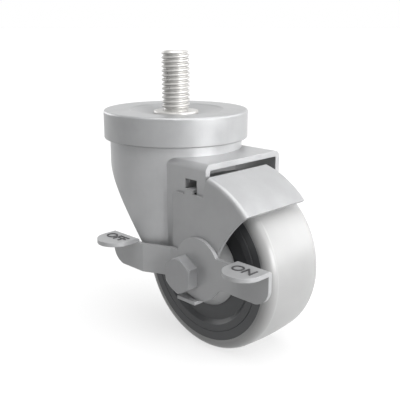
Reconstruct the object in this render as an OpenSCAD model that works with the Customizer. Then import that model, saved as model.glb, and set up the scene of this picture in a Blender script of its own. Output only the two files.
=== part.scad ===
/* [Stem] */
// Radius of the stem thread, half an inch over the crests
stem_r = 6.35; // [5:0.05:6.5]
// Length of the thread above the cap
stem_l = 25.8; // [18:0.1:50]
// Bevel at the tip of the stem
stem_bevel = 1; // [0.5:0.1:1.5]
// Radius of the round collar that sits in the dish
collar_r = 10.2; // [9:0.1:12]
// Thickness of the collar
collar_t = 1.8; // [1:0.1:2.2]
// Depth of the relief groove under the thread
relief_d = 0.9; // [0.5:0.1:1.2]
// Width of the kingpin nut across its flats
kingpin_nut_af = 19.05; // [17:0.05:20]
// Height of the kingpin nut
kingpin_nut_h = 8; // [6:0.1:8.5]

/* [Cap] */
// Outer radius of the cap
cap_r = 32.8; // [32.8:0.1:34]
// Height of the cap
cap_h = 12.56; // [11:0.01:13]
// Thickness of the cap sheet
cap_t = 2.2; // [1.8:0.1:2.2]
// Rounding of the cap's top edge
cap_round = 1; // [0.5:0.1:1.5]
// Distance of the dish's step inside the upper ball circle
dish_inset = 3.1; // [2.7:0.1:3.4]
// Width of the step into the dish
dish_step_w = 1.2; // [0.8:0.1:1.6]
// Depth of the step
dish_step_d = 0.5; // [0.3:0.1:0.8]
// Depth of the dish at the collar
dish_d = 2.6; // [2:0.1:2.8]

/* [Swivel] */
// Distance of the upper ball circle inside the turret's wall
race_inset = 5.3; // [5.1:0.05:5.3]
// Radius of an upper ball
upper_ball_r = 3.175; // [3:0.005:3.2]
// Radius of the lower ball circle
lower_race_r = 14.8; // [14.5:0.1:15]
// Radius of a lower ball
lower_ball_r = 2.38; // [2.2:0.01:2.4]
// Half of the least gap between neighbouring balls
ball_spacing = 0.05; // [0.05:0.05:0.5]
// Running clearance of a ball in its track
ball_gap = 0.1; // [0.08:0.01:0.15]
// Thickness of the lower race ring
lower_race_t = 2.5; // [2:0.1:3]
// Width of a ball track's rim on each side of the ball circle
race_rim = 4; // [3.6:0.1:4.2]
// Wall of the kingpin sleeve
kingpin_sleeve_t = 2.2; // [1.8:0.1:2.4]

/* [Fork] */
// Thickness of the fork sheet
fork_t = 2.5; // [2:0.1:2.5]
// Gap between the cap's skirt and the drawn turret
skirt_gap = 0.4; // [0.3:0.05:0.6]
// Distance of the turret's top under the cap's top
turret_z = 8; // [8:0.05:8.2]
// Distance of the crown's top under the cap's top
crown_z = 16.8; // [15.5:0.1:17.5]
// Room between the wheel and each leg
leg_room = 4.49; // [4.2:0.01:5]
// Depth of the straight rear edge of the legs under the crown
knee_drop = 18; // [15:0.5:20]
// Reach of the crown and legs behind the swivel axis
crown_x = 42; // [41:0.1:42.5]
// Outer radius of the bend between crown and leg
crown_round = 3; // [2.8:0.1:4]
// Distance of the wheel axle behind the swivel axis
trail = 33.74; // [33:0.01:34.5]
// Distance of the wheel axle under the cap's top
axle_z = 63.21; // [63:0.01:66]
// Radius of the leg's end round the axle
leg_end_r = 11.5; // [10:0.1:12]
// Radius of the curve that trims the front of the fork
trim_r = 110; // [95:1:140]
// Distance of that curve's top end under the cap's skirt
trim_top_drop = 2.4; // [1:0.1:4]
// Place of that curve's low end behind the swivel axis
trim_low_x = 7.6; // [6:0.1:9]
// Distance of that curve's low end under the cap's top
trim_low_z = 53.5; // [50:0.5:56]
// Distance of the leg's front edge behind the curve's low end
leg_front_in = 2.6; // [2.3:0.1:3]
// Drop of that edge's start under the curve's low end
leg_front_drop = 4.2; // [3.8:0.1:4.6]
// Window in the near leg, its width
window_w = 6.6; // [6:0.1:7]
// Distance of the window's top under the cap's top
window_z = 23.8; // [23:0.1:24.2]
// Room in the window before the shoe's hook
window_room = 1.7; // [0.5:0.1:2]

/* [Axle] */
// Radius of the axle bolt
bolt_r = 4.76; // [4.4:0.01:4.8]
// Width of the bolt head and nut across flats
bolt_af = 14.29; // [13.5:0.01:15]
// Height of the bolt head
bolt_head_h = 5; // [4:0.1:6]
// Height of the axle nut with its locking collar
axle_nut_h = 8.2; // [7:0.1:9]
// Height of the nut's round locking collar
nut_collar_h = 2.2; // [1.8:0.1:2.6]
// Length of bolt past the nut
bolt_tail = 1.4; // [0.5:0.1:4]
// Thickness of the washer under the nut
washer_t = 1.6; // [1:0.1:2]
// Radius of that washer
washer_r = 10.3; // [9:0.1:11]
// Clearance of a hole over the bolt
bolt_gap = 0.1; // [0.05:0.01:0.2]
// Outer radius of the axle sleeve, the bore of the bearings
sleeve_r = 6; // [5.7:0.05:6.2]

/* [Wheel] */
// Largest radius of the tread
wheel_r = 38.1; // [37.5:0.05:38.3]
// Half of the width of the wheel
wheel_half_w = 16.31; // [15.5:0.01:16.5]
// Fall of the crowned tread from its middle to the shoulder
tread_crown = 0.55; // [0.3:0.05:0.8]
// Radius of the tread's shoulder
shoulder_r = 4.4; // [3.5:0.1:4.8]
// Radius where the side of the tread meets the core
tread_side_r = 32.78; // [32:0.01:33]
// Radius of the core under the tread
core_seat_r = 29.4; // [28:0.1:30]
// Thickness of the core's side flange at its rim
core_rim_t = 2.4; // [2:0.1:3]
// Width of the rib that keys the tread to the core
tread_key_w = 4; // [3:0.5:8]
// Height of that rib
tread_key_h = 1.6; // [1:0.1:2]
// Radius of the moulded line on the side of the core
core_line_r = 28.92; // [28:0.01:29.2]
// Outer radius of the recess in the side of the core
recess_r = 25.77; // [25:0.01:26.5]
// Radius of the recess's floor
recess_floor_r = 24.05; // [23.5:0.01:24.5]
// Depth of the recess
recess_d = 1.8; // [1.4:0.1:2]
// Outer radius of a bearing
bearing_r = 14; // [13.5:0.05:14.5]
// Width of a bearing
bearing_w = 7.8; // [7:0.1:8]
// Ball circle radius of a bearing
bearing_race_r = 10; // [9.9:0.05:10.1]
// Radius of a bearing's ball
bearing_ball_r = 2.38; // [2.2:0.01:2.4]
// Number of balls in a bearing
bearing_balls_n = 8; // [6:1:9]
// Wall of a bearing ring
bearing_ring_t = 2.2; // [2:0.1:2.3]
// Running clearance of a bearing's balls
bearing_gap = 0.05; // [0.04:0.01:0.1]
// Radius of the hub cover at its wide end
cover_r = 17.5; // [16:0.1:18]
// Radius of the hub cover at the leg
cover_top_r = 10; // [9.5:0.1:12]
// Running gap between the core and the hub cover
cover_gap = 0.3; // [0.2:0.05:0.5]
// Wall of the hub cover
cover_t = 1.6; // [1.2:0.1:2]

/* [Brake shoe] */
// Thickness of the shoe sheet
shoe_t = 1.5; // [1.2:0.1:1.6]
// Free play between the stacked sheets of the brake
sheet_gap = 0.1; // [0.1:0.05:0.2]
// Room left between the pressed shoe and the tread
shoe_room = 0.3; // [0.2:0.05:0.5]
// Reach of the band past the middle of the tread
band_reach = 11.5; // [8:0.1:13]
// Angle of the band's front edge from straight up
band_start = 14; // [13.5:0.5:20]
// Angle of the band's rear edge from straight up
band_end = 46; // [40:0.5:50]
// Outer radius of the bend between flange and band
band_bend_r = 2; // [1.7:0.1:3]
// Left edge of the flange, in front of the axle
flange_front = 9.8; // [9:0.1:10.5]
// Rise of the flange's front edge up to the band
step_rise = 4.2; // [3.6:0.1:4.6]
// Drop of the flange's top edge under the hook
hook_rise = 2.4; // [2:0.1:2.6]
// Width of the hook that guides the shoe in the leg's window
hook_w = 3.8; // [3:0.1:4]
// Distance of the hook's top under the window's top
hook_drop = 3.8; // [3:0.1:4.5]
// Distance of the hook's front edge before the axle
hook_front = 1.7; // [1:0.1:3]
// Reach of the hook past the inside of the leg
hook_reach = 3.2; // [1.5:0.1:4]
// Radius of the hollow rear edge of the flange
hollow_r = 56; // [50:1:70]
// Place of the flange's heel behind the axle
heel_reach = 16; // [15:0.1:17]
// Height of the flange's heel over the axle
heel_rise = 10.6; // [10:0.1:12]
// Length of the flange's straight rear edge over the tab
rear_edge_h = 9; // [8:0.1:10]
// Outward reach of the tab that the cam presses
tab_reach = 4.1; // [3:0.1:5]
// Width of that tab
tab_w = 10.4; // [8:0.1:11]

/* [Brake lever] */
// Thickness of the lever sheet
lever_t = 1.8; // [1.5:0.1:2]
// Angle that the lever turns through
lever_swing = 28; // [20:1:30]
// Radius of the cam lobe
cam_r = 11.8; // [11.2:0.1:12]
// Distance of the cam lobe's centre from the axle
cam_offset = 7.4; // [6:0.1:7.8]
// Play between cam and tab
cam_gap = 0.15; // [0.1:0.05:0.3]
// Radius of the lever's upper bump
bump_r = 12.2; // [12:0.1:13]
// Height of the bump's centre over the lobe's centre
bump_rise = 2.7; // [2:0.1:3]
// Room between the turret and the front arm
arm_room = 0.3; // [0.3:0.1:2]
// Running clearance of the lever on its bush
lever_gap = 0.05; // [0.03:0.01:0.08]
// Outer radius of the lever bush
bush_r = 6; // [5.8:0.05:6.2]
// Width of a foot pedal
pedal_w = 15.9; // [14:0.1:17]
// Straight part of a pedal, from the lever's back
pedal_straight = 7; // [5:0.1:9]
// Distance of the rear pedal's middle behind the axle
rear_reach = 36.2; // [34:0.1:38]
// Distance of the front pedal's middle before the axle
front_reach = 32.9; // [32:0.1:34]
// Height of the rear pedal's top over the axle
rear_rise = 12.6; // [11:0.1:14]
// Height of the front pedal's top over the axle
front_rise = 10.3; // [9:0.1:12]
// Height of the arms
arm_h = 12.6; // [11:0.1:13]
// Rounding of the lower ends of the arms
arm_round = 7.5; // [5:0.1:8]
// Distance from the axle to the first fold of the front arm
fold_near = 9.1; // [8.5:0.1:10]
// Distance from the axle to the second fold
fold_far = 21; // [19:0.1:23]
// Radius of the hollow curve under the rear arm
neck_r = 6; // [5:0.1:8]

/* [Hidden] */
$fn = 96;

zinc = [0.74, 0.75, 0.76];
steel = [0.62, 0.63, 0.65];
tread_grey = [0.80, 0.80, 0.79];
core_grey = [0.26, 0.27, 0.28];
cover_grey = [0.68, 0.69, 0.69];

// Overlap of a cutting body past the face it opens
past = 1;
// Clearance of two pieces that slide into each other
slip = 0.05;

// Radii of the swivel, each inside the next
fork_r = cap_r - cap_t - skirt_gap;
upper_race_r = fork_r - race_inset;
dish_step_r = upper_race_r - dish_inset;
dish_r = dish_step_r - dish_step_w;
upper_balls_n = balls_in_ring(upper_race_r, upper_ball_r);
lower_balls_n = balls_in_ring(lower_race_r, lower_ball_r);

// Swivel stack, heights from the cap's top downwards
cap_under_z = cap_t;
upper_ball_z = (cap_under_z + turret_z) / 2;
dish_under_z = dish_d + cap_t;
turret_under_z = turret_z + fork_t;
track_d = 0.48;
lower_ball_z = turret_under_z + lower_ball_r + ball_gap - track_d;
lower_race_z = lower_ball_z + lower_ball_r + ball_gap - track_d;
lower_race_under_z = lower_race_z + lower_race_t;
kingpin_end_z = lower_race_under_z + kingpin_nut_h + 2;
kingpin_sleeve_r = stem_r + slip + kingpin_sleeve_t;
turret_hole_r = kingpin_sleeve_r + 0.4;

// Crown and legs
crown_under_z = crown_z + fork_t;
leg_in = wheel_half_w + leg_room;
fork_half_w = leg_in + fork_t;
leg_bottom_z = axle_z + leg_end_r;
trim_front = [-fork_r, -(cap_h + trim_top_drop)];
trim_low = [trim_low_x, -trim_low_z];

// Brake sheets, distances from the middle of the wheel to the near side
flange_in = fork_half_w + sheet_gap;
flange_out = flange_in + shoe_t;
lever_in = flange_out + sheet_gap;
lever_out = lever_in + lever_t;
arm_in = fork_r + arm_room;
jog_step = arm_in - lever_in;
arm_out = arm_in + lever_t;

// Brake travel: the cam lobe swings evenly above and below the level of the axle
half_swing = lever_swing / 2;
shoe_travel = 2 * cam_offset * sin(half_swing);
cam_x = trail + cam_offset * cos(half_swing);
cam_z = -axle_z + cam_offset * sin(half_swing);
tab_z = cam_z - cam_r - cam_gap;
band_in_r = wheel_r + shoe_room + shoe_travel * cos(band_start);
band_out_r = band_in_r + shoe_t;
hook_z = window_z + hook_drop;
hook_x = trail - hook_front;
window_x = hook_x - window_room;
window_h = hook_z - window_z + shoe_t + shoe_travel + 0.5;
slot_r = bush_r + 0.1;
tab_x = cam_x + 0.5 - tab_w;

// Wheel
bearing_out = wheel_half_w - recess_d - 0.2;
bearing_mid = bearing_out - bearing_w / 2;
recess_y = wheel_half_w - recess_d;
cover_y = recess_y + cover_gap;

// Pedals
rear_pedal_x = trail + rear_reach;
front_pedal_x = trail - front_reach;
rear_pedal_z = -(axle_z - rear_rise);
front_pedal_z = -(axle_z - front_rise);
rear_arm_z = rear_pedal_z - 2;
front_arm_z = front_pedal_z - 1.4;
fold_near_x = trail - fold_near;
fold_far_x = trail - fold_far;

// Where the tangents at points a and b of a circle of radius r about c meet
function meet(a, b, c, r) = c + (a + b - 2 * c) * r * r / (r * r + (a - c) * (b - c));
// Point where a line from p touches the circle of radius r round c, on the side given by s
function touch(p, c, r, s) =
    let (d = p - c, a = atan2(d[1], d[0]) + s * acos(r / norm(d)))
    c + r * [cos(a), sin(a)];

// Centre of the circle of radius r through p and q, to the right of the way from p to q
function arc_centre(p, q, r) =
    let (m = (p + q) / 2, d = q - p, h = norm(d) / 2)
    m + sqrt(r * r - h * h) * [d[1], -d[0]] / norm(d);

// Number of balls of radius b that fit side by side on a circle of radius r
function balls_in_ring(r, b) = floor(180 / asin((b + ball_spacing) / r));

// Corner at p to be cut away, so that an arc of radius r is left; sx and sy point into the body.
// The arc lies a hundredth of r further out than a true fillet, so that it crosses both sides cleanly.
module corner(p, sx, sy, r) {
    inset = 0.99 * r;
    translate(p)
        difference() {
            translate([sx, sy] * inset / 2)
                square((r + inset) / 2, center = true);
            translate([sx, sy] * inset)
                circle(r);
        }
}

// Rectangle between two corner points
module box2(lo, hi) {
    translate(lo)
        square(hi - lo);
}

// Turns a side view drawn in X and Z into a plate between two distances on the near side
module plate(near, far) {
    translate([0, -far, 0])
        rotate([90, 0, 0])
            linear_extrude(near - far)
                children();
}

// Revolves a profile drawn in radius and Y about the axle
module on_axle() {
    translate([trail, 0, -axle_z])
        rotate([90, 0, 0])
            rotate_extrude()
                children();
}

// Plain ring on the axle between two places along Y
module axle_ring(r_in, r_out, y0, y1) {
    on_axle()
        box2([r_in, min(-y0, -y1)], [r_out, max(-y0, -y1)]);
}

// Ring of balls round the Z axis
module ball_ring(count, ring_r, ball_r) {
    for (i = [0 : count - 1])
        rotate(i * 360 / count)
            translate([ring_r, 0, 0])
                sphere(ball_r);
}

// Hexagon prism with one bevelled end, height along Z, corners on the local X axis
module hexagon(af, h, bevel_r) {
    corner_r = af / 2 / cos(30);
    rise = (corner_r - bevel_r) * tan(30);
    intersection() {
        cylinder(h = h, r = corner_r, $fn = 6);
        union() {
            cylinder(h = h - rise, r = corner_r + past);
            translate([0, 0, h - rise])
                cylinder(h = rise, r1 = corner_r, r2 = bevel_r);
        }
    }
}

module threaded_stem() {
    color(steel) {
        cylinder(h = stem_l - stem_bevel, r = stem_r);
        translate([0, 0, stem_l - stem_bevel])
            cylinder(h = stem_bevel, r1 = stem_r, r2 = stem_r - stem_bevel);
        translate([0, 0, -dish_d])
            cylinder(h = collar_t, r = collar_r);
        translate([0, 0, -dish_d])
            cylinder(h = dish_d, r = stem_r - relief_d);
        translate([0, 0, -kingpin_end_z])
            cylinder(h = kingpin_end_z - dish_d, r = stem_r);
    }
}

// Section of the cap: a flat rim, a step, a dish and a skirt
module cap_section() {
    difference() {
        polygon([
            [stem_r + slip, -dish_d],
            [collar_r + 1, -dish_d],
            [dish_r, -dish_step_d],
            [dish_step_r, 0],
            [cap_r, 0],
            [cap_r, -cap_h],
            [cap_r - cap_t, -cap_h],
            [cap_r - cap_t, -cap_t],
            [dish_step_r, -cap_t],
            [dish_r, -cap_t - dish_step_d],
            [collar_r + 1, -dish_under_z],
            [stem_r + slip, -dish_under_z]
        ]);
        corner([cap_r, 0], -1, -1, cap_round);
        corner([cap_r, -cap_h], -1, 1, cap_round * 0.6);
        translate([upper_race_r, -upper_ball_z])
            circle(upper_ball_r + ball_gap);
    }
}

module top_cap() {
    color(zinc)
        rotate_extrude()
            cap_section();
}

module kingpin_sleeve() {
    color(steel)
        translate([0, 0, -lower_race_z])
            difference() {
                cylinder(h = lower_race_z - dish_under_z, r = kingpin_sleeve_r);
                translate([0, 0, -past])
                    cylinder(h = lower_race_z, r = stem_r + slip);
            }
}

module lower_race() {
    color(steel)
        rotate_extrude()
            difference() {
                box2([stem_r + slip, -lower_race_under_z], [lower_race_r + race_rim, -lower_race_z]);
                translate([lower_race_r, -lower_ball_z])
                    circle(lower_ball_r + ball_gap);
                corner([lower_race_r + race_rim, -lower_race_under_z], -1, 1, 1);
            }
}

module kingpin_nut() {
    color(zinc)
        translate([0, 0, -lower_race_under_z])
            rotate([180, 0, 0])
                difference() {
                    hexagon(kingpin_nut_af, kingpin_nut_h, kingpin_nut_af / 2);
                    translate([0, 0, -past])
                        cylinder(h = kingpin_nut_h + 2 * past, r = stem_r);
                }
}

module upper_balls() {
    color(steel)
        translate([0, 0, -upper_ball_z])
            ball_ring(upper_balls_n, upper_race_r, upper_ball_r);
}

module lower_balls() {
    color(steel)
        translate([0, 0, -lower_ball_z])
            ball_ring(lower_balls_n, lower_race_r, lower_ball_r);
}

// End view of crown and legs, w half width, top height z, r corner rounding
module saddle_section(w, z, r) {
    difference() {
        box2([-w, -leg_bottom_z - past], [w, -z]);
        corner([w, -z], -1, -1, r);
        corner([-w, -z], 1, -1, r);
    }
}

module saddle(w, z, r, reach) {
    rotate([90, 0, 90])
        linear_extrude(reach)
            saddle_section(w, z, r);
}

// Radius section of the turret, r outer radius, z top, corner rounding e
module turret(r, z, e) {
    rotate_extrude()
        difference() {
            box2([0, -leg_bottom_z - past], [r, -z]);
            corner([r, -z], -1, -1, e);
        }
}

// Side view of everything the fork keeps
module fork_side() {
    axle = [trail, -axle_z];
    knee = [crown_x, -(crown_z + knee_drop)];
    low = trim_low + [leg_front_in, -leg_front_drop];
    right = touch(knee, axle, leg_end_r - slip, -1);
    left = touch(low, axle, leg_end_r - slip, 1);
    tip = meet(right, left, axle, leg_end_r - slip);
    difference() {
        polygon([
            [-fork_r - past, 0],
            [crown_x, 0],
            knee,
            tip,
            low,
            [-fork_r - past, low[1]]
        ]);
        difference() {
            polygon([axle, axle + 1.5 * (right - axle), axle + 2 * (tip - axle), axle + 1.5 * (left - axle)]);
            translate(axle)
                circle(leg_end_r);
        }
        translate(arc_centre(trim_front, trim_low, trim_r))
            circle(trim_r, $fn = 180);
    }
}

module fork() {
    color(zinc)
        difference() {
            intersection() {
                union() {
                    turret(fork_r, turret_z, crown_round);
                    saddle(fork_half_w, crown_z, crown_round, trail + leg_end_r + past);
                }
                plate(fork_r + past, -fork_r - past)
                    fork_side();
            }
            turret(fork_r - fork_t, turret_under_z, crown_round - fork_t);
            saddle(leg_in, crown_under_z, crown_round - fork_t, trail + leg_end_r + 2 * past);
            translate([0, 0, -turret_under_z - past])
                cylinder(h = fork_t + 2 * past, r = turret_hole_r);
            translate([trail, fork_half_w + past, -axle_z])
                rotate([90, 0, 0])
                    cylinder(h = 2 * (fork_half_w + past), r = bolt_r + bolt_gap);
            plate(fork_half_w + past, leg_in - past)
                box2([window_x, -window_z - window_h], [window_x + window_w, -window_z]);
            rotate_extrude() {
                translate([upper_race_r, -upper_ball_z])
                    circle(upper_ball_r + ball_gap);
                translate([lower_race_r, -lower_ball_z])
                    circle(lower_ball_r + ball_gap);
            }
        }
}

module axle_bolt() {
    tail_y = fork_half_w + washer_t + axle_nut_h + bolt_tail;
    color(zinc)
        translate([trail, 0, -axle_z]) {
            translate([0, -lever_out, 0])
                rotate([90, 30, 0])
                    hexagon(bolt_af, bolt_head_h, bolt_af / 2);
            translate([0, tail_y, 0])
                rotate([90, 0, 0])
                    cylinder(h = tail_y + lever_out, r = bolt_r);
        }
}

module nut_washer() {
    color(zinc)
        axle_ring(bolt_r + bolt_gap, washer_r, fork_half_w, fork_half_w + washer_t);
}

module axle_nut() {
    color(zinc)
        translate([trail, fork_half_w + washer_t, -axle_z])
            rotate([-90, 30, 0])
                difference() {
                    union() {
                        hexagon(bolt_af, axle_nut_h - nut_collar_h, bolt_af / 2);
                        cylinder(h = axle_nut_h, r = 0.44 * bolt_af);
                    }
                    translate([0, 0, -past])
                        cylinder(h = axle_nut_h + 2 * past, r = bolt_r);
                }
}

module lever_bush() {
    color(steel)
        axle_ring(bolt_r + bolt_gap, bush_r, -lever_out, -fork_half_w);
}

module axle_sleeve() {
    color(steel)
        axle_ring(bolt_r + bolt_gap, sleeve_r, -leg_in, leg_in);
}

// Radius section of a hub cover, y counted away from the wheel's middle
module cover_section() {
    boss_r = bearing_race_r - bearing_ball_r + 0.4;
    polygon([
        [sleeve_r, bearing_out],
        [boss_r, bearing_out],
        [boss_r, leg_in - cover_t],
        [cover_top_r - cover_t, leg_in - cover_t],
        [cover_r - cover_t, cover_y],
        [cover_r, cover_y],
        [cover_top_r, leg_in],
        [sleeve_r, leg_in]
    ]);
}

module near_hub_cover() {
    color(cover_grey)
        on_axle()
            cover_section();
}

module far_hub_cover() {
    color(cover_grey)
        on_axle()
            mirror([0, 1])
                cover_section();
}

// Both bearings share one node: a ring between two radii with the ball track cut out
module bearing_rings(r_in, r_out) {
    for (side = [-1, 1])
        on_axle()
            difference() {
                translate([r_in, side * bearing_mid - bearing_w / 2])
                    square([r_out - r_in, bearing_w]);
                translate([bearing_race_r, side * bearing_mid])
                    circle(bearing_ball_r + bearing_gap);
            }
}

module bearing_inner_rings() {
    color(steel)
        bearing_rings(sleeve_r, sleeve_r + bearing_ring_t);
}

module bearing_outer_rings() {
    color(steel)
        bearing_rings(bearing_r - bearing_ring_t, bearing_r);
}

module bearing_balls() {
    color(steel)
        for (side = [-1, 1])
            translate([trail, side * bearing_mid, -axle_z])
                rotate([90, 0, 0])
                    ball_ring(bearing_balls_n, bearing_race_r, bearing_ball_r);
}

// Radius section of the core: a drum with a channel for the tread and a recess on each side
module core_section() {
    rim_y = wheel_half_w - core_rim_t;
    difference() {
        box2([bearing_r - bearing_ring_t - 0.5, -wheel_half_w], [tread_side_r, wheel_half_w]);
        box2([core_seat_r + tread_key_h, -rim_y], [tread_side_r + past, rim_y]);
        for (side = [0, 1])
            mirror([0, side]) {
                box2([core_seat_r, tread_key_w / 2], [tread_side_r + past, rim_y]);
                polygon([
                    [0, wheel_half_w + past],
                    [recess_r, wheel_half_w + past],
                    [recess_r, wheel_half_w],
                    [recess_floor_r, recess_y],
                    [0, recess_y]
                ]);
                polygon([
                    [core_line_r - 0.25, wheel_half_w + 0.01],
                    [core_line_r + 0.25, wheel_half_w + 0.01],
                    [core_line_r, wheel_half_w - 0.3]
                ]);
                box2([0, bearing_mid - bearing_w / 2], [bearing_r, recess_y + past]);
            }
    }
}

module wheel_core() {
    color(core_grey)
        on_axle()
            core_section();
}

module wheel_tread() {
    side_r = wheel_r - tread_crown;
    half = wheel_half_w - shoulder_r;
    crown_r = (half * half + tread_crown * tread_crown) / (2 * tread_crown);
    color(tread_grey)
        on_axle()
            difference() {
                union() {
                    intersection() {
                        box2([core_seat_r - past, -half], [wheel_r + past, half]);
                        translate([wheel_r - crown_r, 0])
                            circle(crown_r, $fn = 360);
                    }
                    difference() {
                        box2([core_seat_r - past, -wheel_half_w], [side_r, wheel_half_w]);
                        corner([side_r, wheel_half_w], -1, -1, shoulder_r);
                        corner([side_r, -wheel_half_w], -1, 1, shoulder_r);
                    }
                }
                box2([0, -wheel_half_w - past], [core_seat_r, wheel_half_w + past]);
                box2([0, -tread_key_w / 2], [core_seat_r + tread_key_h, tread_key_w / 2]);
                for (side = [0, 1])
                    mirror([0, side])
                        box2([0, wheel_half_w - core_rim_t], [tread_side_r, wheel_half_w + past]);
            }
}

// Side view of the lever with both arms, the cam lobe and the upper bump
module lever_side() {
    rear_end = rear_pedal_x + pedal_w / 2;
    front_end = front_pedal_x - pedal_w / 2;
    rear_low = rear_arm_z - arm_h;
    front_low = front_arm_z - arm_h;
    difference() {
        union() {
            translate([cam_x, cam_z])
                circle(cam_r);
            translate([cam_x - 0.05 * cam_r, cam_z + bump_rise])
                circle(bump_r);
            difference() {
                union() {
                    box2([cam_x, rear_low], [rear_end, rear_arm_z]);
                    box2([rear_end - pedal_w, rear_arm_z - past], [rear_end, rear_pedal_z]);
                    box2([front_end, front_low], [cam_x, front_arm_z]);
                    box2([front_end, front_arm_z - past], [front_end + pedal_w, front_pedal_z]);
                }
                corner([rear_end, rear_low], -1, 1, arm_round);
                corner([front_end, front_low], 1, 1, arm_round);
            }
            lever_fillet(rear_low);
        }
        translate([trail, -axle_z])
            circle(bush_r + lever_gap);
    }
}

// Hollow curve between the cam lobe and the underside of the rear arm
module lever_fillet(low) {
    c = [cam_x, cam_z];
    drop = cam_z - low + neck_r;
    reach = sqrt(pow(cam_r + neck_r, 2) - drop * drop);
    f = [cam_x + reach, low - neck_r];
    difference() {
        polygon([[cam_x, low + past], c, c + (f - c) * cam_r / (cam_r + neck_r), [f[0], low], [f[0], low + past]]);
        translate(f)
            circle(neck_r);
    }
}

// Top view of the bent sheet: main run, jog and outer run
module lever_plan() {
    turn = atan2(jog_step, fold_near_x - fold_far_x);
    shift = lever_t * tan(turn / 2);
    left = front_pedal_x - pedal_w;
    right = rear_pedal_x + pedal_w;
    polygon([
        [right, -lever_out], [right, -lever_in],
        [fold_near_x - shift, -lever_in], [fold_far_x - shift, -arm_in],
        [left, -arm_in], [left, -arm_out],
        [fold_far_x, -arm_out], [fold_near_x, -lever_out]
    ]);
}

// Half round pedal whose back edge lies at distance back on the near side, top at height z
module pedal(x, back, z) {
    difference() {
        translate([x, -back, z - lever_t])
            linear_extrude(lever_t)
                difference() {
                    union() {
                        box2([-pedal_w / 2, -pedal_straight], [pedal_w / 2, past]);
                        translate([0, -pedal_straight])
                            circle(pedal_w / 2);
                    }
                    box2([-pedal_w, 0], [pedal_w, pedal_w]);
                }
        pedal_bend_cut(x, back, z);
    }
}

// Rounds the outside of the bend between arm and pedal
module pedal_bend_cut(x, back, z) {
    translate([x - pedal_w, 0, 0])
        rotate([90, 0, 90])
            linear_extrude(2 * pedal_w)
                corner([-back, z], -1, -1, lever_t * 0.8);
}

module brake_lever() {
    color(zinc)
        difference() {
            union() {
                intersection() {
                    translate([0, 0, -axle_z - 2 * cam_r])
                        linear_extrude(4 * cam_r)
                            lever_plan();
                    plate(arm_out + past, 0)
                        lever_side();
                }
                pedal(rear_pedal_x, lever_in, rear_pedal_z);
                pedal(front_pedal_x, arm_in, front_pedal_z);
            }
            pedal_bend_cut(rear_pedal_x, lever_in, rear_pedal_z);
            pedal_bend_cut(front_pedal_x, arm_in, front_pedal_z);
        }
}

// Side view of the shoe's flat flange
module flange_side() {
    axle = [trail, -axle_z];
    left = trail - flange_front;
    top = -(hook_z + hook_rise);
    start = axle + band_out_r * [sin(band_start), cos(band_start)];
    finish = axle + band_out_r * [sin(band_end), cos(band_end)];
    heel = [trail + heel_reach, -axle_z + heel_rise];
    foot = [tab_x + tab_w, tab_z];
    notch = hook_x + hook_w;
    difference() {
        polygon([
            [left, tab_z + 3], [left, top],
            [hook_x - 0.6, top], [hook_x - 0.6, -hook_z], [notch, -hook_z],
            [notch, top + 0.4], [start[0] - 2.4, top + 0.4],
            [start[0] - 1.7, top + 0.4 + step_rise], start, axle + 1.05 * (start - axle),
            axle + 1.2 * band_out_r * [sin(30), cos(30)], axle + 1.05 * (finish - axle), finish,
            heel, foot + [1.5, rear_edge_h], foot, [foot[0], tab_z - shoe_t],
            [tab_x, tab_z - shoe_t], [tab_x - 2.5, tab_z - shoe_t]
        ]);
        corner([left, top], 1, -1, 1.6);
        difference() {
            translate(axle)
                circle(2 * band_out_r);
            translate(axle)
                circle(band_out_r - band_bend_r);
        }
        translate(arc_centre(heel, finish, hollow_r))
            circle(hollow_r, $fn = 180);
        for (rise = [-0.2, shoe_travel + 0.2])
            translate(axle + [0, rise])
                circle(slot_r);
        box2(axle + [-slot_r, -0.2], axle + [slot_r, shoe_travel + 0.2]);
    }
}

// Radius section of the curved band with its bend into the flange; y grows to the near side
module band_section() {
    bend_c = [band_out_r - band_bend_r, flange_out - band_bend_r];
    box2([band_in_r, -band_reach], [band_out_r, bend_c[1]]);
    intersection() {
        difference() {
            translate(bend_c)
                circle(band_bend_r);
            translate(bend_c)
                circle(band_bend_r - shoe_t);
        }
        box2(bend_c, bend_c + [band_bend_r, band_bend_r]);
    }
    box2([bend_c[0] - 0.5, flange_in], [bend_c[0], flange_out]);
}

module brake_shoe() {
    color(zinc) {
        plate(flange_out, flange_in)
            flange_side();
        translate([trail, 0, -axle_z])
            rotate([90, 0, 0])
                rotate(90 - band_end)
                    rotate_extrude(angle = band_end - band_start)
                        band_section();
        translate([hook_x, -flange_out, -hook_z - shoe_t])
            cube([hook_w, flange_out - leg_in + hook_reach, shoe_t]);
        difference() {
            translate([tab_x, -flange_out - tab_reach, tab_z - shoe_t])
                cube([tab_w, shoe_t + tab_reach, shoe_t]);
            translate([tab_x - past, 0, 0])
                rotate([90, 0, 90])
                    linear_extrude(tab_w + 2 * past)
                        corner([-flange_in, tab_z - shoe_t], -1, 1, shoe_t * 0.8);
        }
    }
}

threaded_stem();
top_cap();
kingpin_sleeve();
lower_race();
kingpin_nut();
fork();
upper_balls();
lower_balls();
axle_bolt();
nut_washer();
axle_nut();
lever_bush();
axle_sleeve();
near_hub_cover();
far_hub_cover();
bearing_inner_rings();
wheel_tread();
wheel_core();
bearing_outer_rings();
bearing_balls();
brake_lever();
brake_shoe();
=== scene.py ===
import math

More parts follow.
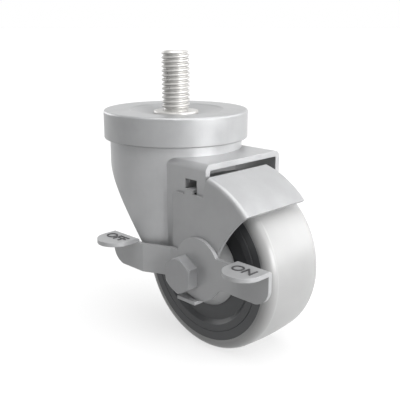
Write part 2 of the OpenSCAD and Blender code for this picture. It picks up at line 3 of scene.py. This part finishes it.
import bpy
import numpy as np
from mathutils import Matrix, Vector


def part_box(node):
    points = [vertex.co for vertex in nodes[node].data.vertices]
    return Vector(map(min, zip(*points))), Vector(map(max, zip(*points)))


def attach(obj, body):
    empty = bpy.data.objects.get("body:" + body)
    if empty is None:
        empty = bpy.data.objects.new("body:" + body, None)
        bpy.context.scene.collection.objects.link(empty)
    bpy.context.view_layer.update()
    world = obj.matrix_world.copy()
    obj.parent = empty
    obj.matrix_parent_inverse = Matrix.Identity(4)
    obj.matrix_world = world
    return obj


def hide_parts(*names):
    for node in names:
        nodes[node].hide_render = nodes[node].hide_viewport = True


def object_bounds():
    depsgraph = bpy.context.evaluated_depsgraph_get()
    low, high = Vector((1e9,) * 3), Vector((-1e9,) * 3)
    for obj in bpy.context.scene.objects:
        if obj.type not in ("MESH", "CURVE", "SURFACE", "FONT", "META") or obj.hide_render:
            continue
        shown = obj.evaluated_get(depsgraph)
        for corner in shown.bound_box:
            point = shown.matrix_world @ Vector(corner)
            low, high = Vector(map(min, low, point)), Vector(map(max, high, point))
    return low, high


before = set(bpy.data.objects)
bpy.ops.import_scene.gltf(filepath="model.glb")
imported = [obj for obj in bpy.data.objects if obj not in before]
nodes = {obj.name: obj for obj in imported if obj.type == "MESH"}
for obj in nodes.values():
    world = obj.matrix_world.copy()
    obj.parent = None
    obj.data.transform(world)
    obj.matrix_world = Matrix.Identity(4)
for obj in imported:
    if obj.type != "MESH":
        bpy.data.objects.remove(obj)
cad_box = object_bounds()


# The studio: the castor stands on its wheel on a pale floor, in a white room.
# Camera, gloss and glass rays see the room white, and all else gets its weak level light.
# Four broad soft lamps light it: a strong one from the right, and others from behind, above and the left.
mm = 0.001
white = (1, 1, 1, 1)
floor_z = cad_box[0][2]
floor_half = 30.0
floor_grey = 0.3
floor_glow = 0.68
room_light = 0.07
room_seen = 1.0


class Value:
    """Wraps a shader socket, so that sums and products of values are written as a + b and a * b."""

    def __init__(self, socket):
        self.socket = socket
        self.tree = socket.id_data

    def math(self, operation, a, b):
        return make(self.tree, "Math", {"operation": operation}, {0: a, 1: b})

    def __add__(self, other):
        return self.math("ADD", self, other)

    def __radd__(self, other):
        return self.math("ADD", other, self)

    def __sub__(self, other):
        return self.math("SUBTRACT", self, other)

    def __rsub__(self, other):
        return self.math("SUBTRACT", other, self)

    def __mul__(self, other):
        return self.math("MULTIPLY", self, other)

    def __rmul__(self, other):
        return self.math("MULTIPLY", other, self)


def make(tree, kind, settings, sockets, out=0):
    """Adds one node: its settings first, then a value or a link for each of its sockets."""
    node = tree.nodes.new("ShaderNode" + kind)
    for name, value in settings.items():
        setattr(node, name, value)
    for name, value in sockets.items():
        if isinstance(value, Value):
            tree.links.new(value.socket, node.inputs[name])
        else:
            node.inputs[name].default_value = value
    return Value(node.outputs[out]) if node.outputs else None


def new_surface(name):
    """A new material with an empty node tree."""
    material = bpy.data.materials.new(name)
    material.use_nodes = True
    material.node_tree.nodes.clear()
    return material, material.node_tree


def sees_room(tree):
    """1 for camera, gloss and glass rays, else 0."""
    camera_ray, gloss_ray, glass_ray = (
        make(tree, "LightPath", {}, {}, out=name)
        for name in ("Is Camera Ray", "Is Glossy Ray", "Is Transmission Ray")
    )
    rays = camera_ray + gloss_ray + glass_ray
    return make(tree, "Math", {"operation": "MINIMUM"}, {0: rays, 1: 1.0})


world = bpy.data.worlds.new("studio")
bpy.context.scene.world = world
world.use_nodes = True
room = world.node_tree
room.nodes.clear()
grey_room = make(room, "Background", {}, {"Color": white, "Strength": room_light})
white_room = make(room, "Background", {}, {"Color": white, "Strength": room_seen})
seen_room = make(room, "MixShader", {}, {0: sees_room(room), 1: grey_room, 2: white_room})
make(room, "OutputWorld", {}, {"Surface": seen_room})

corner_signs = ((-1, -1), (1, -1), (1, 1), (-1, 1))
floor_corners = [(x * floor_half, y * floor_half, floor_z) for x, y in corner_signs]
floor_mesh = bpy.data.meshes.new("floor")
floor_mesh.from_pydata(floor_corners, [], [(0, 1, 2, 3)])
floor = bpy.data.objects.new("floor", floor_mesh)
bpy.context.scene.collection.objects.link(floor)
floor_paint, floor_tree = new_surface("floor_paint")
floor_colour = (floor_grey, floor_grey, floor_grey, 1)
floor_matt = make(floor_tree, "BsdfDiffuse", {}, {"Color": floor_colour})
floor_seen = floor_glow * sees_room(floor_tree)
floor_light = make(floor_tree, "Emission", {}, {"Color": white, "Strength": floor_seen})
floor_look = make(floor_tree, "AddShader", {}, {0: floor_matt, 1: floor_light})
make(floor_tree, "OutputMaterial", {}, {"Surface": floor_look})
floor_mesh.materials.append(floor_paint)


def soft_sun(name, towards, strength, spread_angle):
    """A distant lamp in the direction towards, as wide as spread_angle in degrees.
    A face turned to a lamp of strength 1 shows its colour as it is written."""
    lamp = bpy.data.lights.new(name, "SUN")
    lamp.energy = strength * math.pi
    lamp.angle = math.radians(spread_angle)
    lamp_object = bpy.data.objects.new(name, lamp)
    lamp_object.rotation_euler = Vector(towards).to_track_quat("Z", "Y").to_euler()
    bpy.context.scene.collection.objects.link(lamp_object)


soft_sun("right_light", (0.98, 0.08, 0.06), strength=1.7, spread_angle=38)
soft_sun("rim_light", (0.62, 0.75, 0.16), strength=0.75, spread_angle=50)
soft_sun("top_light", (0.25, -0.1, 0.95), strength=1.05, spread_angle=70)
soft_sun("left_light", (-0.96, -0.06, 0.2), strength=0.37, spread_angle=40)


# The camera looks down on the castor's brake side, over the wheel, as the photograph does.
# Its distance and lens were found from the wheel's and the cap's ellipses.
view_turn = math.radians(45)
view_rise = math.radians(15.27)
view_distance = 289.73 * mm
aim_right = 10.98 * mm
aim_up = -41.84 * mm
focal_pixels = 634.9
frame_pixels = 400
nearest_seen = 10 * mm
to_camera = Vector(
    (
        math.sin(view_turn) * math.cos(view_rise),
        -math.cos(view_turn) * math.cos(view_rise),
        math.sin(view_rise),
    )
)
view_right = Vector((math.cos(view_turn), math.sin(view_turn), 0))
view_up = to_camera.cross(view_right)
camera_data = bpy.data.cameras.new("camera")
camera_data.lens = focal_pixels / frame_pixels * camera_data.sensor_width
camera_data.clip_start = nearest_seen
camera = bpy.data.objects.new("camera", camera_data)
camera.location = view_right * aim_right + view_up * aim_up + to_camera * view_distance
camera.rotation_euler = to_camera.to_track_quat("Z", "Y").to_euler()
bpy.context.scene.collection.objects.link(camera)
bpy.context.scene.camera = camera
bpy.context.scene.view_settings.view_transform = "Standard"


# The stem, a turned steel rod with a rolled 1/2-13 thread over the cap and under the fork.
# A collar seats it in the cap's dish, with a relief groove between collar and thread.
# It is zinc plated, a little warmer and brighter than the pressed sheet.
crest_r = 6.35 * mm
pitch = 25.4 / 13 * mm
thread_depth = 0.5 * pitch
crest_flat = 0.3
root_flat = 0.16
flank_ease = 0.35
end_r = 5.35 * mm
end_bevel = 1.0 * mm
lower_thread_top = -17.0 * mm
collar_r = 10.2 * mm
collar_low = -2.6 * mm
collar_top = -0.8 * mm
collar_bevel = 0.2 * mm
relief_r = 5.45 * mm
upper_thread_low = 0.1 * mm
thread_start = 0.7 * mm
end_z, tip_z = (corner[2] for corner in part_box("threaded_stem"))
stem_stops = (
    (end_z, end_r),
    (end_z + end_bevel, crest_r),
    (lower_thread_top, crest_r),
    (collar_low, crest_r),
    (collar_low, collar_r - collar_bevel),
    (collar_low + collar_bevel, collar_r),
    (collar_top - collar_bevel, collar_r),
    (collar_top, collar_r - collar_bevel),
    (collar_top, relief_r),
    (upper_thread_low, relief_r),
    (upper_thread_low + thread_start, crest_r),
    (tip_z - end_bevel, crest_r),
    (tip_z, end_r),
)
threads = ((end_z, lower_thread_top), (upper_thread_low, tip_z))
rows_per_pitch = 20
turn_steps = 96
crease_angle = math.radians(75)


def thread_cut(phase):
    """Depth of the thread from 0 at the crest to 1 at the root, where phase counts turns:
    a flat crest, a flank that is straight but eased at both ends, a flat root and the other flank."""
    from_crest = np.abs(phase - np.round(phase)) * 2
    flank = (from_crest - crest_flat) / (1 - crest_flat - root_flat)
    straight = np.clip(flank, 0, 1)
    eased = straight * straight * (3 - 2 * straight)
    return eased * flank_ease + straight * (1 - flank_ease)


def put_mesh(name, points, faces):
    """A new object from points and faces, shaded smooth up to the crease angle between faces."""
    mesh = bpy.data.meshes.new(name)
    mesh.from_pydata(points.tolist(), [], faces)
    mesh.polygons.foreach_set("use_smooth", np.ones(len(faces), dtype=bool))
    mesh.set_sharp_from_angle(angle=crease_angle)
    mesh.update()
    piece = bpy.data.objects.new(name, mesh)
    bpy.context.scene.collection.objects.link(piece)
    return piece


def closed_rings(radius, z):
    """Points and faces of a turned body: point (i, j) is radius[i, j] from the Z axis at height z[i],
    at an angle of j steps, with a point on the axis at each end."""
    rings, steps = radius.shape
    angle = np.arange(steps) * 2 * math.pi / steps
    height = np.repeat(z[:, None], steps, axis=1)
    body = np.stack((radius * np.cos(angle), radius * np.sin(angle), height), axis=-1)
    points = np.vstack((body.reshape(-1, 3), [(0, 0, z[0]), (0, 0, z[-1])]))
    low_point, high_point = rings * steps, rings * steps + 1

    around = np.arange(steps)
    beside = (around + 1) % steps
    low_ring = np.arange(rings - 1)[:, None] * steps
    high_ring = low_ring + steps
    corners = (low_ring + around, low_ring + beside, high_ring + beside, high_ring + around)
    quads = np.stack(corners, axis=-1).reshape(-1, 4)
    last = (rings - 1) * steps
    low_fan = np.stack((beside, around, np.full(steps, low_point)), axis=-1)
    high_fan = np.stack((last + around, last + beside, np.full(steps, high_point)), axis=-1)
    return points, quads.tolist() + low_fan.tolist() + high_fan.tolist()


def stem_rings():
    """Radius and height of the stem's rings: the turned profile less the thread, which runs out
    where the profile is below the crest."""
    stretches = []
    for (z0, r0), (z1, r1) in zip(stem_stops, stem_stops[1:]):
        threaded = any(low <= z0 and z1 <= high for low, high in threads)
        count = max(1, round((z1 - z0) / pitch * rows_per_pitch)) if threaded else 1
        share = np.arange(count) / count
        stretches.append(np.stack((z0 + (z1 - z0) * share, r0 + (r1 - r0) * share), axis=-1))
    stations = np.vstack(stretches + [[stem_stops[-1]]])
    z, profile = stations[:, 0], stations[:, 1, None]
    turns = np.arange(turn_steps) / turn_steps
    threaded = np.zeros(len(z), dtype=bool)
    for low, high in threads:
        threaded |= (z >= low) & (z <= high)
    thread_r = crest_r - thread_depth * thread_cut(z[:, None] / pitch - turns)
    return np.where(threaded[:, None], np.minimum(profile, thread_r), profile), z


stem_radius, stem_z = stem_rings()
stem = put_mesh("rolled_stem", *closed_rings(stem_radius, stem_z))
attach(stem, "mount")
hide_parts("threaded_stem")

finer_share = 0.6
plate_cloud = 90
plate_speck = 2600
rolling_lines = 900
rolling_stretch = (1, 1, 0.06)
plate_relief = 0.012 * mm


def grain(tree, waves, detail, stretch=(1, 1, 1)):
    """Noise between 0 and 1 over the piece's own place, with a number of waves per metre."""
    place = make(tree, "TexCoord", {}, {}, out="Object")
    turned = make(tree, "Mapping", {}, {"Vector": place, "Scale": stretch})
    values = {"Vector": turned, "Scale": waves, "Detail": detail, "Roughness": finer_share}
    return make(tree, "TexNoise", {}, values)


def blend_colour(tree, share, dark, light):
    """Colour between dark and light, by a share from 0 to 1."""
    values = {0: share, 6: (*dark, 1), 7: (*light, 1)}
    return make(tree, "Mix", {"data_type": "RGBA"}, values, out=2)


def spread(tree, value, low, high):
    """Stretches the part of a value between low and high to the range from 0 to 1."""
    return make(tree, "MapRange", {}, {"Value": value, "From Min": low, "From Max": high})


def rounded_normal(tree, height, depth, edge):
    """The surface's normal with its sharp edges eased over a width, and a fine relief on top."""
    eased = make(tree, "Bevel", {"samples": 4}, {"Radius": edge})
    relief = {"Height": height, "Distance": depth, "Strength": 1.0, "Normal": eased}
    return make(tree, "Bump", {}, relief)


def plated(name, dark, light, rough, metal, edge):
    """Bright zinc plate on steel: cloudy in tone and gloss, with the faint lines of rolled steel."""
    material, tree = new_surface(name)
    cloud = spread(tree, grain(tree, plate_cloud, 3), 0.35, 0.65)
    speck = grain(tree, plate_speck, 2)
    lines = grain(tree, rolling_lines, 2, stretch=rolling_stretch)
    tone = 0.6 * cloud + 0.2 * speck + 0.2 * lines
    look = {
        "Base Color": blend_colour(tree, tone, dark, light),
        "Metallic": metal,
        "Roughness": rough + 0.1 * cloud - 0.05 * lines,
        "Normal": rounded_normal(tree, 0.6 * speck + 0.4 * lines, plate_relief, edge),
    }
    body = make(tree, "BsdfPrincipled", {}, look)
    make(tree, "OutputMaterial", {}, {"Surface": body})
    return material


stem_dark = (0.43, 0.424, 0.411)
stem_light = (0.49, 0.483, 0.47)
stem_plate = plated("stem_plate", stem_dark, stem_light, rough=0.3, metal=0.45, edge=0.1 * mm)
stem.data.materials.append(stem_plate)


# The cap is drawn from steel sheet and zinc plated, with a dished middle and a deep rim.
# The stem's collar clamps it, and the upper ball track is pressed into its underside.
cap_dark = (0.295, 0.298, 0.302)
cap_light = (0.34, 0.343, 0.348)


def dress(material, *names):
    """Gives CAD nodes a material in place of their plain one."""
    for name in names:
        mesh = nodes[name].data
        mesh.materials.clear()
        mesh.materials.append(material)


cap_plate = plated("cap_plate", cap_dark, cap_light, rough=0.34, metal=0.34, edge=0.35 * mm)
dress(cap_plate, "top_cap")


# The fork is one drawn and trimmed piece of steel sheet, bright zinc plated.
# Its round turret turns in the cap on two rings of balls, and its legs hold the axle.
fork_dark = (0.34, 0.343, 0.348)
fork_light = (0.393, 0.396, 0.402)
zinc_plate = plated("zinc_plate", fork_dark, fork_light, rough=0.34, metal=0.33, edge=0.35 * mm)
dress(zinc_plate, "fork")


# Races, balls, sleeves and bearing rings are ground steel, lightly oiled.
# They show only in the gaps under the cap, in the turret and beside the hub covers.
steel_dark = (0.4, 0.405, 0.415)
steel_light = (0.56, 0.565, 0.575)
steel_marks = 1800


def ground_steel(name):
    """Bare ground steel under a film of oil, uneven in tone and gloss from fine marks."""
    material, tree = new_surface(name)
    marks = grain(tree, steel_marks, 2)
    look = {
        "Base Color": blend_colour(tree, marks, steel_dark, steel_light),
        "Metallic": 0.95,
        "Roughness": 0.14 + 0.12 * marks,
        "Coat Weight": 0.2,
    }
    body = make(tree, "BsdfPrincipled", {}, look)
    make(tree, "OutputMaterial", {}, {"Surface": body})
    return material


bare_steel = ground_steel("ground_steel")
dress(bare_steel, "kingpin_sleeve", "lower_race", "upper_balls", "lower_balls")
dress(bare_steel, "lever_bush", "axle_sleeve")
dress(bare_steel, "bearing_inner_rings", "bearing_outer_rings", "bearing_balls")


# The axle bolt with its washer and lock nut, and the nut under the kingpin, are bought parts.
# They are cold headed steel with a slightly darker zinc plate than the sheet.
bolt_dark = (0.25, 0.252, 0.257)
bolt_light = (0.29, 0.292, 0.298)
bolt_plate = plated("bolt_plate", bolt_dark, bolt_light, rough=0.32, metal=0.32, edge=0.2 * mm)
dress(bolt_plate, "axle_bolt", "axle_nut", "nut_washer", "kingpin_nut")


# The wheel is a pale grey rubber tread moulded round a dark plastic core.
# The tread is glossy from the mould, and the core has a fine spark-eroded grain.
tread_dark = (0.27, 0.27, 0.269)
tread_light = (0.305, 0.305, 0.304)
core_dark = (0.04, 0.042, 0.045)
core_light = (0.06, 0.062, 0.065)
mould_cloud = 60
mould_edge = 0.3 * mm
coat_rough = 0.22


def moulded(name, dark, light, rough, relief, waves, coat=0.0, edge=mould_edge):
    """A moulded plastic or rubber, slightly uneven in tone, with a fine even grain."""
    material, tree = new_surface(name)
    cloud = spread(tree, grain(tree, mould_cloud, 2), 0.3, 0.7)
    fine = grain(tree, waves, 2)
    look = {
        "Base Color": blend_colour(tree, 0.7 * cloud + 0.3 * fine, dark, light),
        "Roughness": rough + 0.08 * cloud,
        "Coat Weight": coat,
        "Coat Roughness": coat_rough,
        "Normal": rounded_normal(tree, fine, relief, edge),
    }
    body = make(tree, "BsdfPrincipled", {}, look)
    make(tree, "OutputMaterial", {}, {"Surface": body})
    return material


tread_rubber = moulded(
    "tread_rubber", tread_dark, tread_light, rough=0.36, relief=0.006 * mm, waves=1500, coat=0.25
)
core_plastic = moulded("core_plastic", core_dark, core_light, rough=0.42, relief=0.02 * mm, waves=3500)
dress(tread_rubber, "wheel_tread")
dress(core_plastic, "wheel_core")


# The hub covers are moulded cones of pale plastic that close the bearings on both sides.
# They are pressed between the wheel's bearings and the fork's legs and stand still.
cover_dark = (0.38, 0.383, 0.386)
cover_light = (0.42, 0.423, 0.426)
cover_plastic = moulded("cover_plastic", cover_dark, cover_light, rough=0.4, relief=0.012 * mm, waves=3500)
dress(cover_plastic, "near_hub_cover", "far_hub_cover")


# The brake lever and the brake shoe are bent from thinner steel sheet and zinc plated.
# The lever turns on the bush of the axle bolt, and its cam presses the shoe on the tread.
brake_dark = (0.31, 0.312, 0.317)
brake_light = (0.355, 0.358, 0.363)
brake_plate = plated("brake_plate", brake_dark, brake_light, rough=0.34, metal=0.24, edge=0.35 * mm)
dress(brake_plate, "brake_lever", "brake_shoe")


# ON and OFF stand a little proud of the two pedals and are painted dark.
# The rear pedal sets the brake, and the front one lets it go.
word_height = 4.8 * mm
capital_share = 0.7
word_rise = 0.22 * mm
word_sink = 0.3 * mm
word_edge = 0.05 * mm
word_curve_steps = 6
word_dark = (0.03, 0.03, 0.032)
word_light = (0.045, 0.045, 0.047)
pedal_words = (
    ("ON", 69.94 * mm, -50.61 * mm, -32.0 * mm),
    ("OFF", 0.84 * mm, -52.91 * mm, -37.0 * mm),
)


def raised_word(word, x, top_z, y):
    """Raised capital letters, centred at x and y on a pedal's top, to be read from the brake's side."""
    name = "pedal_" + word.lower()
    letters = bpy.data.curves.new(name, "FONT")
    letters.body = word
    letters.size = word_height / capital_share
    letters.align_x = "CENTER"
    letters.align_y = "CENTER"
    letters.extrude = (word_rise + word_sink) / 2
    letters.bevel_depth = word_edge
    letters.resolution_u = word_curve_steps
    shaped = bpy.data.objects.new("letters", letters)
    bpy.context.scene.collection.objects.link(shaped)
    shaped_now = shaped.evaluated_get(bpy.context.evaluated_depsgraph_get())
    mesh = bpy.data.meshes.new_from_object(shaped_now)
    bpy.data.objects.remove(shaped)
    mesh.name = name
    points = np.empty(len(mesh.vertices) * 3)
    mesh.vertices.foreach_get("co", points)
    points = points.reshape(-1, 3) + (x, y, top_z + (word_rise - word_sink) / 2)
    mesh.vertices.foreach_set("co", points.ravel())
    piece = bpy.data.objects.new(name, mesh)
    bpy.context.scene.collection.objects.link(piece)
    return piece


word_paint = moulded(
    "word_paint", word_dark, word_light, rough=0.5, relief=0.01 * mm, waves=3500, edge=word_edge
)
for word, x, top_z, y in pedal_words:
    raised = raised_word(word, x, top_z, y)
    raised.data.materials.clear()
    raised.data.materials.append(word_paint)
    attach(raised, "lever")
